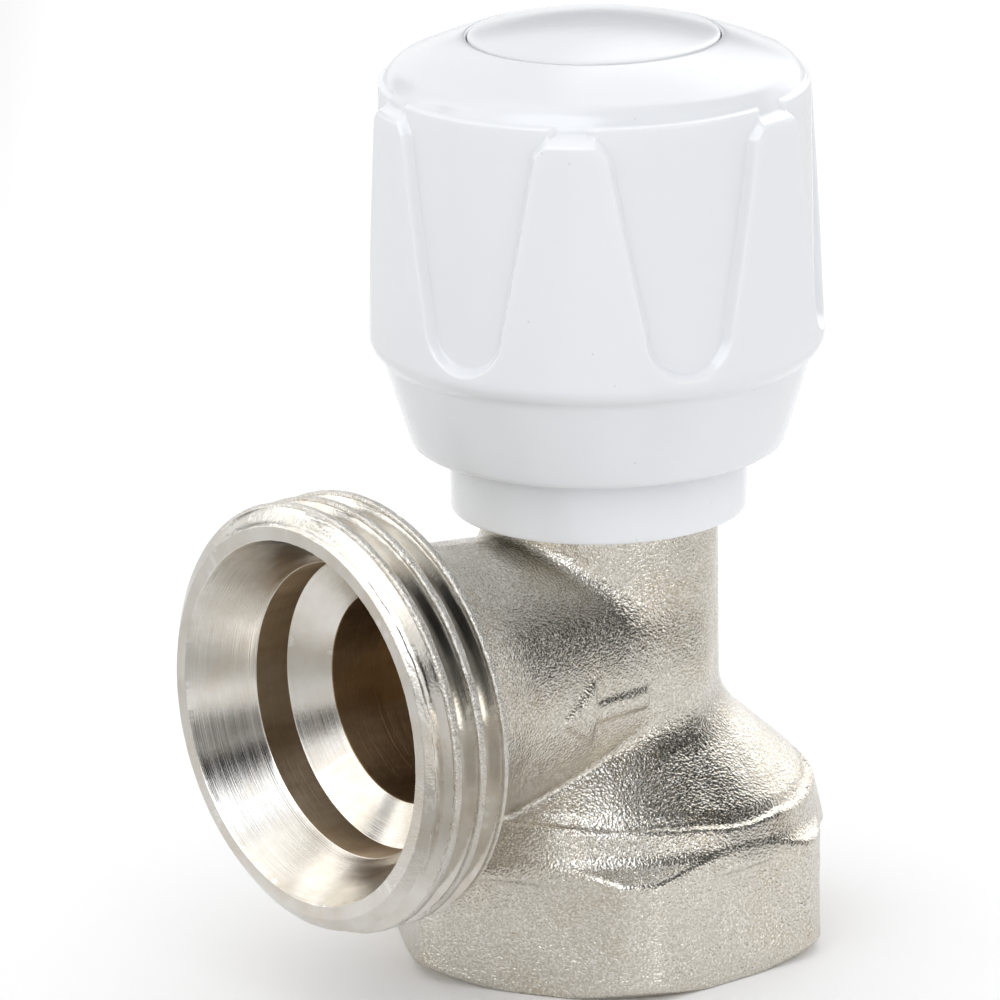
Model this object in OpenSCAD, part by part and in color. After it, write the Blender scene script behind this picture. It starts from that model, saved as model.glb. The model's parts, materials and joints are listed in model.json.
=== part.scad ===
// Angle lockshield valve for heating pipework, in millimetres.
// Origin: centre of the inlet base's bottom face. +Z runs up the spindle,
// +X runs out along the outlet. The plug rests one turn open.

/* [Inlet base] */
// Size of the hexagon across its flats
base_af = 31.5; // [31.2:0.1:32]
// Radius to which the hexagon's corners are turned
base_corner_r = 17.45; // [17.2:0.05:17.6]
// Height of the hexagon's faces
base_h = 10.2; // [9.8:0.1:10.4]
// Depth of the threaded inlet socket
socket_depth = 11; // [10.5:0.1:11.2]

/* [Neck and flare] */
// Outside radius of the neck
neck_r = 9.1; // [9:0.05:9.3]
// Height of the neck's top face
neck_top = 36.6; // [36.5:0.1:36.6]
// Largest radius of the flare above the hexagon
flare_r = 15.1; // [14.8:0.1:15.3]

/* [Outlet] */
// Height of the outlet axis above the base
outlet_z = 23.35; // [23.2:0.05:23.5]
// Distance of the outlet's rim from the spindle axis
outlet_x = 29.5; // [29.3:0.1:30]
// Length of the outlet's threaded end
outlet_thread_len = 7.2; // [7:0.1:7.6]
// Radius of the outlet's bore
outlet_bore_r = 8.25; // [8:0.05:8.3]

/* [Valve action] */
// Rise of the plug for one turn of the spindle
thread_lead = 1.5; // [1.2:0.1:1.5]
// Turns from closed to the rest position
rest_turns = 1; // [0.8:0.1:1]

/* [Shield cap] */
// Height of the cap's lower edge
cap_z = 39.95; // [39.9:0.05:40.1]
// Widest radius of the cap
cap_r = 17.34; // [17.2:0.02:17.5]
// Height at which the cap is widest
cap_wide_z = 48.15; // [48:0.05:48.3]
// Radius of the cap's crown
crown_r = 16.05; // [15.9:0.05:16.1]
// Height of the dome's highest point
dome_top = 72.9; // [72.8:0.05:73.1]
// Number of finger recesses round the cap
recess_count = 6; // [5:1:6]
// Direction of the first recess from the outlet, in degrees
recess_turn = 14.2; // [0:0.1:59]
// Radius of the top disc
disc_r = 9.55; // [9.4:0.05:9.58]

/* [Collar] */
// Outside radius of the collar ring
collar_r = 11.35; // [11.2:0.05:11.4]
// Height of the collar ring's lower edge
collar_z = 34.7; // [34.6:0.05:34.8]

/* [Hidden] */
$fn = 96;

nickel = [0.74, 0.71, 0.66];
brass = [0.80, 0.64, 0.32];
white = [0.93, 0.94, 0.95];
rubber = [0.08, 0.08, 0.09];
ptfe = [0.90, 0.90, 0.86];
steel = [0.70, 0.71, 0.73];

eps = 0.02;
run_gap = 0.05;

// Pipe threads to ISO 228: outlet G 1, inlet G 3/4
outlet_pitch = 25.4 / 11;
outlet_crest_r = 33.249 / 2;
outlet_root_r = 30.291 / 2;
inlet_pitch = 25.4 / 14;
inlet_crest_r = 24.117 / 2;
inlet_root_r = 26.441 / 2;
thread_slope = tan(27.5);
outlet_thread_x = outlet_x - outlet_thread_len;

// Valve seat and chamber
seat_bore_r = 5.2;
seat_lip_r = 6;
seat_z = 16;
chamber_floor = 15;
chamber_r = 7.1;
boss_mid_r = 10.8;
boss_r = 13.6;

// Plug: everything below is at the rest position
plug_z = seat_z + run_gap + rest_turns * thread_lead;
washer_r = 6.4;
washer_t = 2;
plug_hex_af = 8.8;
plug_top = plug_z + 15.4;
spindle_thread_r = 2.95;
spindle_foot = 27;

// Bonnet
bonnet_thread_r = 7.45;
bonnet_bore_top = neck_top;
bonnet_hex_af = 17;
bonnet_hex_top = 41;
barrel_r = 6.4;
barrel_top = 49;
stem_r = 3.2;
gland_floor = 43.6;
gland_r = 4.9;
collar_top = 41;

// Spindle head and cap fixing
shaft_r = 3;
spindle_top = 58.2;
square_af = 4.8;
cap_washer_t = 0.6;
web_z = spindle_top + cap_washer_t + run_gap;
web_t = 1.7;
screw_shoulder_r = 2;
screw_seat = web_z + web_t + run_gap + cap_washer_t;

// Cap shell
dome_r = 35;
shoulder_r = 2.5;
crown_z = dome_top - dome_r
    + sqrt(pow(dome_r - shoulder_r, 2) - pow(crown_r - shoulder_r, 2));
lobe_top_r = 17.1;
lobe_top_z = 67.2;
floor_r = 16.6;
wall_t = 2.1;
well_r = 8.4;
disc_seat_z = 69.4;
recess_end_r = 3.55;
recess_end_z = 52.4;
recess_half_w = 6;

function dome_z(r) = dome_top - dome_r + sqrt(dome_r * dome_r - r * r);

module ring(r_out, r_in, z0, z1) {
    translate([0, 0, z0])
        difference() {
            cylinder(r = r_out, h = z1 - z0);
            translate([0, 0, -eps]) cylinder(r = r_in, h = z1 - z0 + 2 * eps);
        }
}

module disc(r, z0, z1) {
    translate([0, 0, z0]) cylinder(r = r, h = z1 - z0);
}

module hexagon(af, z0, z1) {
    translate([0, 0, z0]) cylinder(r = af / sqrt(3), h = z1 - z0, $fn = 6);
}

module o_ring(r_mid, r_section, z) {
    rotate_extrude() translate([r_mid, z]) circle(r = r_section, $fn = 32);
}

// Turns +Z towards +X, so that a turned shape lies on the outlet axis
module on_outlet_axis() {
    translate([0, 0, outlet_z]) rotate([0, 90, 0]) children();
}

// V grooves of an outside pipe thread, first root at a distance z
module outer_grooves(count, pitch, crest_r, root_r, z) {
    half = (crest_r - root_r) * thread_slope + 0.22;
    for (i = [0 : count - 1])
        rotate_extrude()
            polygon([
                [root_r, z - i * pitch - 0.22], [root_r, z - i * pitch + 0.22],
                [crest_r, z - i * pitch + half], [crest_r + 1, z - i * pitch + half],
                [crest_r + 1, z - i * pitch - half], [crest_r, z - i * pitch - half]
            ]);
}

// V grooves of an inside pipe thread
module inner_grooves(count, pitch, crest_r, root_r, z) {
    half = (root_r - crest_r) * thread_slope + 0.18;
    for (i = [0 : count - 1])
        rotate_extrude()
            polygon([
                [root_r, z + i * pitch - 0.18], [root_r, z + i * pitch + 0.18],
                [crest_r, z + i * pitch + half], [crest_r - 1, z + i * pitch + half],
                [crest_r - 1, z + i * pitch - half], [crest_r, z + i * pitch - half]
            ]);
}

// Hexagon with its corners turned off above and below like a nut's
module base_hexagon() {
    bevel_r = base_af / 2;
    bevel_h = (base_corner_r - bevel_r) * tan(29);
    intersection() {
        hexagon(base_af, 0, base_h + 2);
        rotate_extrude()
            polygon([
                [0, 0], [bevel_r, 0], [base_corner_r, bevel_h],
                [base_corner_r, base_h - bevel_h], [bevel_r, base_h],
                [flare_r, base_h + 1.2], [0, base_h + 1.2]
            ]);
    }
}

// Forged shape from the hexagon up to the neck
module flare() {
    rotate_extrude()
        polygon([
            [0, base_h - 1], [flare_r, base_h - 1], [flare_r, base_h + 2.6],
            [flare_r - 0.6, base_h + 3.9], [neck_r, base_h + 9], [0, base_h + 9]
        ]);
}

module outlet_outside() {
    boss_mid_x = 14;
    on_outlet_axis() {
        // Boss that widens from the neck to the threaded end
        cylinder(r1 = neck_r + 0.2, r2 = boss_mid_r, h = boss_mid_x + eps);
        translate([0, 0, boss_mid_x])
            cylinder(r1 = boss_mid_r, r2 = boss_r, h = outlet_thread_x - boss_mid_x + eps);
        difference() {
            rotate_extrude()
                polygon([
                    [0, outlet_thread_x], [outlet_crest_r - 0.6, outlet_thread_x],
                    [outlet_crest_r, outlet_thread_x + 0.5], [outlet_crest_r, outlet_x - 1.3],
                    [outlet_crest_r - 1.66, outlet_x], [0, outlet_x]
                ]);
            outer_grooves(3, outlet_pitch, outlet_crest_r, outlet_root_r, outlet_x - 0.84);
        }
    }
}

module outlet_inside() {
    bore_end = 4;
    on_outlet_axis()
        rotate_extrude()
            polygon([
                [0, bore_end - 1.5], [outlet_bore_r, bore_end],
                [outlet_bore_r, outlet_x - 9.75], [11.35, outlet_x - 7.8],
                [11.35, outlet_x - 4.85], [11.42, outlet_x - 4.85],
                [14, outlet_x], [14, outlet_x + 1], [0, outlet_x + 1]
            ]);
}

module inlet_inside() {
    disc(inlet_crest_r, -1, socket_depth);
    rotate_extrude()
        polygon([
            [0, -1], [inlet_root_r + 1.4, -1], [inlet_root_r + 0.4, 0],
            [inlet_crest_r, 1.1], [0, 1.1]
        ]);
    inner_grooves(5, inlet_pitch, inlet_crest_r, inlet_root_r, 2.1);
    rotate_extrude()
        polygon([
            [0, socket_depth - eps], [inlet_crest_r, socket_depth - eps],
            [8, socket_depth + 1.5], [0, socket_depth + 1.5]
        ]);
    disc(seat_bore_r, socket_depth, seat_z + 1);
}

module valve_body() {
    color(nickel) {
        difference() {
            union() {
                base_hexagon();
                flare();
                disc(neck_r, base_h, neck_top);
                outlet_outside();
            }
            outlet_inside();
            inlet_inside();
            disc(chamber_r, chamber_floor, neck_top);
            disc(bonnet_thread_r + run_gap, neck_top - 7, neck_top + 1);
            disc(bonnet_thread_r + 1.05, neck_top - 1.3, neck_top + 1);
        }
        ring(seat_lip_r, seat_bore_r, chamber_floor - 0.1, seat_z);
    }
}

module bonnet() {
    skirt_z = neck_top - 10.6;
    color(brass)
        difference() {
            union() {
                disc(6.6, skirt_z, neck_top);
                disc(bonnet_thread_r, neck_top - 6.8, neck_top - 1.4);
                disc(7, neck_top - 1.4, neck_top);
                intersection() {
                    hexagon(bonnet_hex_af, neck_top, bonnet_hex_top);
                    rotate_extrude()
                        polygon([
                            [0, neck_top], [9.85, neck_top], [9.85, bonnet_hex_top - 0.7],
                            [8.6, bonnet_hex_top], [0, bonnet_hex_top]
                        ]);
                }
                disc(barrel_r, bonnet_hex_top - eps, barrel_top);
            }
            hexagon(plug_hex_af + 0.3, skirt_z - 1, bonnet_bore_top);
            disc(stem_r + run_gap, neck_top - 1, barrel_top);
            disc(gland_r + run_gap, gland_floor, barrel_top + 1);
        }
}

module bonnet_o_ring() {
    color(rubber) o_ring(7.75, 0.62, neck_top - 0.64);
}

module collar_ring() {
    lip_top = collar_z + 1.5;
    color(white)
        rotate_extrude()
            polygon([
                [neck_r + 0.1, collar_z], [collar_r - 0.25, collar_z],
                [collar_r, collar_z + 0.25], [collar_r, collar_top - 0.4],
                [collar_r - 0.4, collar_top], [9.86, collar_top],
                [9.86, lip_top], [neck_r + 0.1, lip_top]
            ]);
}

module thrust_washer() {
    color(ptfe) ring(4.8, stem_r + 0.1, gland_floor, gland_floor + 0.5);
}

module gland_packing() {
    color(ptfe) ring(4.85, shaft_r + run_gap, gland_floor + 1.65, gland_floor + 2.8);
}

module gland_nut() {
    nut_top = barrel_top + 3;
    color(brass)
        difference() {
            union() {
                disc(gland_r, gland_floor + 2.8, barrel_top);
                intersection() {
                    hexagon(11, barrel_top, nut_top);
                    rotate_extrude()
                        polygon([
                            [0, barrel_top], [6.4, barrel_top], [6.4, nut_top - 0.5],
                            [5.5, nut_top], [0, nut_top]
                        ]);
                }
            }
            disc(shaft_r + run_gap, gland_floor, nut_top + 1);
        }
}

// Heights of the two O-ring grooves in the spindle
o_ring_z = [38.6, 41.4];

module spindle() {
    color(brass)
        difference() {
            union() {
                rotate_extrude()
                    polygon([
                        [0, spindle_foot], [spindle_thread_r - 0.6, spindle_foot],
                        [spindle_thread_r, spindle_foot + 0.6], [spindle_thread_r, neck_top + 0.3],
                        [stem_r, neck_top + 0.6], [stem_r, gland_floor + 0.55],
                        [4.5, gland_floor + 0.55], [4.5, gland_floor + 1.6],
                        [shaft_r, gland_floor + 1.6], [shaft_r, 53], [0, 53]
                    ]);
                intersection() {
                    disc(shaft_r, 53 - eps, spindle_top);
                    translate([-square_af / 2, -square_af / 2, 52])
                        cube([square_af, square_af, spindle_top - 52]);
                }
            }
            for (z = o_ring_z) ring(stem_r + 1, stem_r - 0.75, z - 0.7, z + 0.7);
            disc(1.5, spindle_top - 5.5, spindle_top + 1);
        }
}

module stem_o_ring(z) {
    color(rubber) o_ring(stem_r - 0.37, 0.38, z);
}

module lower_cap_washer() {
    color(ptfe) ring(4.1, screw_shoulder_r + run_gap, spindle_top, spindle_top + cap_washer_t);
}

module upper_cap_washer() {
    color(steel)
        ring(5.2, screw_shoulder_r + run_gap, screw_seat - cap_washer_t, screw_seat);
}

module cap_screw() {
    head_top = screw_seat + 2.2;
    color(steel)
        difference() {
            rotate_extrude()
                polygon([
                    [0, spindle_top - 4.8], [1, spindle_top - 4.8], [1.45, spindle_top - 4.3],
                    [1.45, spindle_top], [screw_shoulder_r, spindle_top],
                    [screw_shoulder_r, screw_seat], [3.6, screw_seat],
                    [3.6, head_top - 0.8], [3, head_top], [0, head_top]
                ]);
            hexagon(2.5, head_top - 1.4, head_top + 1);
        }
}

module plug() {
    cup_top = plug_z + washer_t + 1.05;
    color(brass)
        difference() {
            union() {
                disc(washer_r + 0.35, plug_z + 0.6, cup_top);
                intersection() {
                    hexagon(plug_hex_af, cup_top - eps, plug_top);
                    rotate_extrude()
                        polygon([
                            [0, cup_top - 1], [5.2, cup_top - 1], [5.2, plug_top - 0.4],
                            [4.6, plug_top], [0, plug_top]
                        ]);
                }
            }
            disc(washer_r, plug_z - 1, plug_z + washer_t);
            disc(spindle_thread_r + run_gap, plug_z + 5.9, plug_top + 1);
            disc(1.5, plug_z, plug_z + 5);
        }
}

module seat_washer() {
    color(rubber) ring(washer_r - 0.02, 1.75, plug_z, plug_z + washer_t);
}

module washer_plate() {
    color(brass) ring(3.6, 1.6, plug_z - 0.7, plug_z);
}

module washer_screw() {
    head_z = plug_z - 2;
    color(brass)
        difference() {
            rotate_extrude()
                polygon([
                    [0, head_z], [2.2, head_z], [2.8, head_z + 0.5], [2.8, plug_z - 0.7],
                    [1.45, plug_z - 0.7], [1.45, plug_z + 4.6], [0, plug_z + 4.6]
                ]);
            translate([-3, -0.35, head_z - 1]) cube([6, 0.7, 1.6]);
        }
}

// Turned core of the cap: crown and floor of the recesses
module cap_core() {
    steps = 12;
    mid_r = crown_r - shoulder_r;
    rim_r = mid_r * dome_r / (dome_r - shoulder_r);
    rotate_extrude()
        polygon(concat(
            [[0, cap_z + 2], [12.5, cap_z + 2], [floor_r, cap_wide_z], [floor_r, cap_wide_z + 0.5],
             [crown_r, crown_z]],
            [for (a = [10 : 10 : 60])
                [mid_r + shoulder_r * cos(a), crown_z + shoulder_r * sin(a)]],
            [for (i = [0 : steps])
                let (r = rim_r * (1 - i / steps)) [r, dome_z(r)]]
        ));
}

// Band that carries the lobes, before the recesses are cut
module lobe_band() {
    rotate_extrude()
        polygon([
            [0, cap_z], [13.9, cap_z], [14.4, cap_z + 0.5],
            [cap_r - 0.5, cap_wide_z - 1], [cap_r, cap_wide_z + 0.3],
            [lobe_top_r, lobe_top_z - 0.4], [lobe_top_r - 0.4, lobe_top_z],
            [0, lobe_top_z]
        ]);
}

// One U-shaped recess, open at the crown
module recess() {
    rotate([90, 0, 90])
        translate([0, 0, 10]) linear_extrude(height = 12) {
            translate([0, recess_end_z]) circle(r = recess_end_r);
            polygon([
                [-recess_end_r, recess_end_z], [recess_end_r, recess_end_z],
                [recess_half_w, lobe_top_z - 0.8], [recess_half_w + 1.1, lobe_top_z + 0.4],
                [-recess_half_w - 1.1, lobe_top_z + 0.4], [-recess_half_w, lobe_top_z - 0.8]
            ]);
        }
}

// Space inside the cap, open below, round the hub
module cap_cavity() {
    rotate_extrude()
        polygon([
            [6.6, cap_z - 1], [12.5, cap_z - 1], [12.5, cap_z + 0.6], [floor_r - wall_t, 47.4],
            [crown_r - wall_t, 66.2], [13, 67.6], [10.3, 67.6], [10.3, 60.2],
            [9.3, web_z], [6.6, web_z]
        ]);
    disc(6.7, cap_z - 1, 53.6);
}

module shield_cap() {
    rib_t = 1.2;
    color(white)
        difference() {
            union() {
                cap_core();
                difference() {
                    lobe_band();
                    for (i = [0 : recess_count - 1])
                        rotate([0, 0, recess_turn + i * 360 / recess_count]) recess();
                }
            }
            difference() {
                cap_cavity();
                for (i = [0 : recess_count - 1])
                    rotate([0, 0, recess_turn + (i + 0.5) * 360 / recess_count])
                        translate([6, -rib_t / 2, 56]) cube([12, rib_t, 14]);
            }
            disc(4.4, cap_z, web_z);
            disc(screw_shoulder_r + 0.1, web_z - 1, web_z + web_t + 1);
            disc(well_r, web_z + web_t, disc_seat_z + 1);
            disc(disc_r + 0.1, disc_seat_z, dome_top + 1);
        }
}

module top_disc() {
    steps = 8;
    skirt_z = disc_seat_z - 3.6;
    color(white)
        rotate_extrude()
            polygon(concat(
                [[0, disc_seat_z + 0.2], [7.5, disc_seat_z + 0.2], [7.5, skirt_z],
                 [well_r - 0.4, skirt_z], [well_r - run_gap, skirt_z + 0.6],
                 [well_r - run_gap, disc_seat_z], [disc_r, disc_seat_z],
                 [disc_r, dome_z(disc_r) - 0.25]],
                [for (i = [0 : steps])
                    let (r = (disc_r - 0.25) * (1 - i / steps)) [r, dome_z(r)]]
            ));
}

valve_body();
bonnet();
bonnet_o_ring();
collar_ring();
thrust_washer();
gland_packing();
gland_nut();
spindle();
stem_o_ring(o_ring_z[0]);  // lower_stem_o_ring
stem_o_ring(o_ring_z[1]);  // upper_stem_o_ring
lower_cap_washer();
upper_cap_washer();
cap_screw();
plug();
seat_washer();
washer_plate();
washer_screw();
shield_cap();
top_disc();
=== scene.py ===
"""Looks of the angle lockshield valve: pieces, materials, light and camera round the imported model.

Sizes are in millimetres in the tables below and become metres in mesh_piece().
"""
import json
import math

import bpy
import numpy as np
from mathutils import Matrix, Vector


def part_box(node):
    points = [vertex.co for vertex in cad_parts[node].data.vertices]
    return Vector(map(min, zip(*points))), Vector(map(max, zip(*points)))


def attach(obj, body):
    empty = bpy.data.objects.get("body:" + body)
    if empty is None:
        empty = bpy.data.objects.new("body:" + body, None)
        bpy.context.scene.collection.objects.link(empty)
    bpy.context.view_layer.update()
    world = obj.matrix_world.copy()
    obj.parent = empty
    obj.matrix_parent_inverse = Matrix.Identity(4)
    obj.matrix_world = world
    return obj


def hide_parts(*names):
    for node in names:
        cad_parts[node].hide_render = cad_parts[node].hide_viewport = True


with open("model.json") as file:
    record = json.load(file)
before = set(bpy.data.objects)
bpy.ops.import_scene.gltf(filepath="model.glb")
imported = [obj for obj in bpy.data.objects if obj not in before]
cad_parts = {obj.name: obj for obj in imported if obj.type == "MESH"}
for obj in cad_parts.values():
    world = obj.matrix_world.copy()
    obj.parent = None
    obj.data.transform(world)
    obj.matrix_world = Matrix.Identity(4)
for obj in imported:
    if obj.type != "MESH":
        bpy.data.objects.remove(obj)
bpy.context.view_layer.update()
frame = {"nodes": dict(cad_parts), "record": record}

MM = 0.001
record = frame["record"]


def mount_mm(name):
    """Place of one of the record's mounts, in millimetres."""
    for mount in record["mounts"]:
        if mount["name"] == name:
            return [1000 * v for v in mount["pos_m"]]


def box_mm(node):
    """Low and high corner of a CAD node's box, in millimetres."""
    low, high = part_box(node)
    return [1000 * v for v in low], [1000 * v for v in high]


OUT_Z = mount_mm("outlet_thread")[2]
OUT_X, _, NECK_TOP = box_mm("valve_body")[1]
CAP_Z = box_mm("shield_cap")[0][2]
DOME_TOP = box_mm("top_disc")[1][2]

NECK_R = 9.1
BORE_R = 8.25
# G 1 outlet thread
PITCH = 25.4 / 11
CREST_R = 33.249 / 2
ROOT_R = 30.291 / 2
# painted shade: the cap's crown is coloured darker between these heights, toning down the light that
# falls on its top
CROWN_SHADE_LOW_Z = 67.4
CROWN_SHADE_HIGH_Z = 70.2


# ---------------------------------------------------------------- materials

class Graph:
    """A node material under construction."""

    def __init__(self, name):
        self.mat = bpy.data.materials.new(name)
        self.mat.use_nodes = True
        self.tree = self.mat.node_tree
        self.tree.nodes.clear()
        self.out = self.node("ShaderNodeOutputMaterial")
        self.bsdf = self.node("ShaderNodeBsdfPrincipled")
        self.link(self.bsdf.outputs["BSDF"], self.out.inputs["Surface"])
        coord = self.node("ShaderNodeTexCoord")
        scale = self.node("ShaderNodeVectorMath", operation="SCALE")
        scale.inputs["Scale"].default_value = 1000
        self.link(coord.outputs["Object"], scale.inputs[0])
        self.mm = scale.outputs[0]

    def node(self, kind, **settings):
        """A new node with its settings."""
        made = self.tree.nodes.new(kind)
        for key, value in settings.items():
            setattr(made, key, value)
        return made

    def link(self, a, b):
        self.tree.links.new(a, b)

    def put(self, socket, value):
        """Links a node's output to a socket, or sets the socket to a constant."""
        if isinstance(value, bpy.types.NodeSocket):
            self.link(value, socket)
        else:
            socket.default_value = value

    def math(self, operation, a, b=0.0, c=0.0):
        made = self.node("ShaderNodeMath", operation=operation)
        for socket, value in zip(made.inputs, (a, b, c)):
            self.put(socket, value)
        return made.outputs[0]

    def add(self, a, b):
        return self.math("ADD", a, b)

    def mul(self, a, b):
        return self.math("MULTIPLY", a, b)

    def remap(self, value, from_low, from_high, low=0.0, high=1.0, smooth=False):
        made = self.node("ShaderNodeMapRange")
        if smooth:
            made.interpolation_type = "SMOOTHSTEP"
        for socket, v in zip(made.inputs, (value, from_low, from_high, low, high)):
            self.put(socket, v)
        return made.outputs[0]

    def noise(self, size, detail=2.0, rough=0.5, stretch=(1, 1, 1), shift=0.0):
        """Noise with features of about size millimetres, 0 to 1."""
        mapping = self.node("ShaderNodeMapping")
        mapping.inputs["Scale"].default_value = stretch
        mapping.inputs["Location"].default_value = (shift, 1.7 * shift, -shift)
        self.link(self.mm, mapping.inputs["Vector"])
        made = self.node("ShaderNodeTexNoise")
        made.inputs["Scale"].default_value = 1 / size
        made.inputs["Detail"].default_value = detail
        made.inputs["Roughness"].default_value = rough
        self.link(mapping.outputs[0], made.inputs["Vector"])
        return made.outputs["Fac"]

    def cells(self, size):
        """Distance to the nearest of scattered points about size millimetres apart."""
        made = self.node("ShaderNodeTexVoronoi", feature="F1")
        made.inputs["Scale"].default_value = 1 / size
        self.link(self.mm, made.inputs["Vector"])
        return made.outputs["Distance"]

    def xyz(self):
        made = self.node("ShaderNodeSeparateXYZ")
        self.link(self.mm, made.inputs[0])
        return made.outputs

    def radius(self, a, b, zero_a=0.0, zero_b=0.0):
        """Distance from an axis, from two of the coordinates."""
        a = self.math("SUBTRACT", a, zero_a)
        b = self.math("SUBTRACT", b, zero_b)
        return self.math("SQRT", self.add(self.mul(a, a), self.mul(b, b)))

    def lines(self, along, pitch, rough=0.6):
        """Turning marks: streaks of uneven strength across one coordinate."""
        made = self.node("ShaderNodeTexNoise", noise_dimensions="1D")
        made.inputs["Scale"].default_value = 1 / pitch
        made.inputs["Detail"].default_value = 3.0
        made.inputs["Roughness"].default_value = rough
        self.link(along, made.inputs["W"])
        return made.outputs["Fac"]

    def mix(self, factor, a, b):
        made = self.node("ShaderNodeMix", data_type="RGBA")
        self.put(made.inputs["Factor"], factor)
        for socket, value in zip((made.inputs[6], made.inputs[7]), (a, b)):
            self.put(socket, (*value, 1) if isinstance(value, tuple) else value)
        return made.outputs[2]

    def bump(self, height, depth, normal=None):
        """Bump whose height of 1 stands depth millimetres proud."""
        made = self.node("ShaderNodeBump")
        made.inputs["Strength"].default_value = 1.0
        made.inputs["Distance"].default_value = depth * MM
        self.link(height, made.inputs["Height"])
        if normal is not None:
            self.link(normal, made.inputs["Normal"])
        return made.outputs[0]

    def edges(self, spread=0.4):
        """1 on convex edges, 0 elsewhere."""
        geometry = self.node("ShaderNodeNewGeometry")
        return self.remap(geometry.outputs["Pointiness"], 0.5 + 0.02 * spread, 0.5 + 0.12 * spread)

    def finish(self, color, rough, normal=None, metal=0.0, **constants):
        """Feeds the shader; constants go to its sockets by name."""
        self.put(self.bsdf.inputs["Base Color"], color)
        self.put(self.bsdf.inputs["Roughness"], rough)
        self.bsdf.inputs["Metallic"].default_value = metal
        if normal is not None:
            self.link(normal, self.bsdf.inputs["Normal"])
        for key, value in constants.items():
            self.bsdf.inputs[key].default_value = value
        return self.mat


def frosted_nickel():
    """Nickel plate over a blasted forging: sparkling grain and faint warm stains."""
    g = Graph("frosted_nickel")
    grain = g.noise(0.19, 1.5, 0.6)
    pits = g.remap(g.cells(0.34), 0.0, 0.5)
    lumps = g.noise(0.9, 2.0, 0.55, shift=3.0)
    waves = g.noise(3.4, 1.0, 0.5, shift=7.0)
    stain = g.remap(g.noise(6.0, 3.0, 0.6, shift=11.0), 0.46, 0.70, smooth=True)
    speck = g.remap(g.noise(0.7, 2.0, 0.5, shift=19.0), 0.69, 0.76)
    wear = g.edges(1.0)
    color = g.mix(stain, (0.585, 0.548, 0.475), (0.55, 0.49, 0.39))
    color = g.mix(g.mul(speck, 0.6), color, (0.40, 0.27, 0.15))
    color = g.mix(g.remap(grain, 0.42, 0.64), color, (0.80, 0.77, 0.71))
    color = g.mix(g.mul(wear, 0.4), color, (0.84, 0.82, 0.77))
    rough = g.add(g.remap(lumps, 0.3, 0.7, 0.11, 0.19), g.mul(wear, -0.03))
    normal = g.bump(waves, 0.03)
    normal = g.bump(lumps, 0.022, normal)
    normal = g.bump(pits, 0.020, normal)
    normal = g.bump(grain, 0.085, normal)
    return g.finish(color, rough, normal, metal=1.0)


def brushed(g, axis, strength=0.65):
    """Turning marks stretch the highlights across themselves."""
    round_axis = g.node("ShaderNodeTangent", direction_type="RADIAL", axis=axis)
    g.link(round_axis.outputs[0], g.bsdf.inputs["Tangent"])
    g.bsdf.inputs["Anisotropic"].default_value = strength
    g.bsdf.inputs["Anisotropic Rotation"].default_value = 0.25


def bore_brass_painted_shade(name, dark, light):
    """Bare brass left by the boring tool, coloured dark brown: painted shade of the dim insides of
    the bores.
    """
    g = Graph(name)
    x = g.xyz()[0]
    lines = g.lines(x, 0.22)
    smear = g.noise(2.5, 3.0, 0.6, stretch=(0.35, 1, 1))
    color = g.mix(g.remap(smear, 0.3, 0.7), dark, light)
    color = g.mix(g.remap(lines, 0.35, 0.7, 0.0, 0.35), color, tuple(0.7 * v for v in dark))
    rough = g.remap(lines, 0.3, 0.7, 0.30, 0.42)
    normal = g.bump(lines, 0.012)
    normal = g.bump(g.noise(0.5, 2.0), 0.006, normal)
    brushed(g, "X", 0.9)
    return g.finish(color, rough, normal, metal=1.0)


def machined_nickel(name, axis="X", rough_low=0.12, rough_high=0.24, worn=0.0, crest=0.0):
    """Bright turned nickel plate, its marks running round the axis.

    worn makes it uneven all over; a crest radius roughens a thread's crests.
    """
    g = Graph(name)
    x, y, z = g.xyz()
    if axis == "X":
        off = g.radius(y, z, 0.0, OUT_Z)
        along = g.add(x, g.mul(off, 0.9))
    else:
        off = g.radius(x, y)
        along = g.add(z, g.mul(off, 0.9))
    fine = g.lines(along, 0.11)
    broad = g.lines(g.add(along, 40.0), 0.9, 0.5)
    patches = g.noise(3.0, 3.0, 0.6)
    grime = g.remap(g.noise(5.5, 3.0, 0.65, shift=5.0), 0.48, 0.75, smooth=True)
    color = g.mix(g.remap(patches, 0.3, 0.7), (0.62, 0.585, 0.525), (0.71, 0.69, 0.645))
    color = g.mix(g.mul(grime, 0.4), color, (0.52, 0.43, 0.32))
    color = g.mix(g.mul(g.edges(1.0), 0.4), color, (0.88, 0.87, 0.85))
    rough = g.remap(g.add(g.mul(broad, 0.6), g.mul(fine, 0.4)), 0.35, 0.65, rough_low, rough_high)
    normal = g.bump(fine, 0.007)
    normal = g.bump(broad, 0.006, normal)
    normal = g.bump(g.noise(0.24, 2.0, 0.6, shift=2.0), 0.003 + 0.03 * worn, normal)
    if crest:
        on_crest = g.remap(off, crest - 0.30, crest - 0.10)
        normal = g.bump(g.mul(on_crest, g.noise(0.20, 2.0, 0.7, shift=31.0)), 0.16, normal)
    brushed(g, axis)
    return g.finish(color, rough, normal, metal=1.0)


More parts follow.
